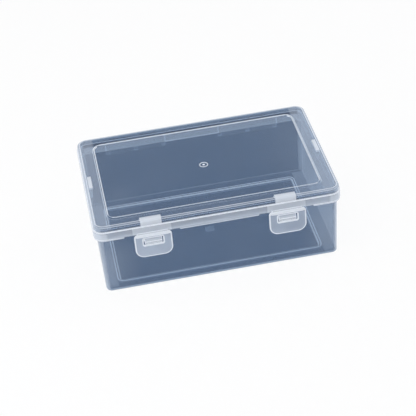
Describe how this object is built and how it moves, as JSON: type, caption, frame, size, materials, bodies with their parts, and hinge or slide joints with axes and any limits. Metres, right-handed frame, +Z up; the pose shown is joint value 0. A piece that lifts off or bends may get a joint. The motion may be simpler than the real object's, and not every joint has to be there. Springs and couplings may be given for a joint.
{
  "type": "small parts box",
  "caption": "Rectangular clear plastic storage box for small parts, with a hinged cap lid and two clip-on front latches.",
  "frame": {"origin": "on the surface the box stands on, under the middle of the tray", "axes": "+Z up, +Y towards the hinge at the back, +X to the right along the front"},
  "size_m": [0.1664, 0.1196, 0.0557],
  "materials": {
    "clear_tray": "clear polypropylene with a cool blue-grey tint, gloss",
    "clear_lid": "clear polypropylene with a cool blue-grey tint, gloss",
    "milky_latch": "milky natural polypropylene, satin"
  },
  "bodies": {
    "tray": {"base_tray": "clear_tray"},
    "lid": {"hinged_lid": "clear_lid"},
    "latch_left": {"left_latch": "milky_latch"},
    "latch_right": {"right_latch": "milky_latch"}
  },
  "joints": [
    {"name": "lid_hinge", "type": "hinge", "parent": "tray", "child": "lid", "pos_m": [0, 0.05815, 0.0485], "axis": [-1, 0, 0], "range_deg": [0, 180]},
    {"name": "left_latch_hinge", "type": "hinge", "parent": "lid", "child": "latch_left", "pos_m": [-0.045, -0.0579, 0.0465], "axis": [-1, 0, 0], "range_deg": [0, 100]},
    {"name": "right_latch_hinge", "type": "hinge", "parent": "lid", "child": "latch_right", "pos_m": [0.045, -0.0579, 0.0465], "axis": [-1, 0, 0], "range_deg": [0, 100]}
  ]
}
